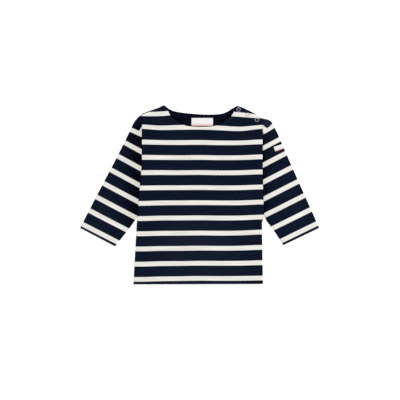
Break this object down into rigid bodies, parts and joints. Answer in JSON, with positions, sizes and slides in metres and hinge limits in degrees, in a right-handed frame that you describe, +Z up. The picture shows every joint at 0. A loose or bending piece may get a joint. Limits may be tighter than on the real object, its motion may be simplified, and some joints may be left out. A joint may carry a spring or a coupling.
{
  "type": "breton shirt",
  "caption": "Long-sleeved striped jersey shirt with a boat neck and a snapped shoulder, laid flat on its back.",
  "frame": {"origin": "centre of the shirt's overall box at the level of the surface that it lies on", "axes": "+X towards the wearer's left sleeve, +Y towards the neck, +Z up from the surface, the front on top"},
  "size_m": [0.4741, 0.3562, 0.0064],
  "materials": {
    "striped_jersey": "heavy cotton jersey, navy with ecru stripes",
    "navy_facing": "plain navy cotton jersey",
    "woven_label": "woven white ribbon with a coloured lower band",
    "snap_metal": "pale plated snap"
  },
  "bodies": {
    "root": {"front_panel": "striped_jersey", "back_panel": "striped_jersey", "sleeve_right": "striped_jersey", "sleeve_left": "striped_jersey", "shoulder_underlap": "striped_jersey", "neck_facing": "navy_facing", "neck_label": "woven_label", "sleeve_tab": "woven_label", "snap_ring_1": "snap_metal", "snap_ring_2": "snap_metal", "snap_ring_3": "snap_metal", "snap_body_1": "snap_metal", "snap_body_2": "snap_metal", "snap_body_3": "snap_metal"}
  },
  "joints": []
}
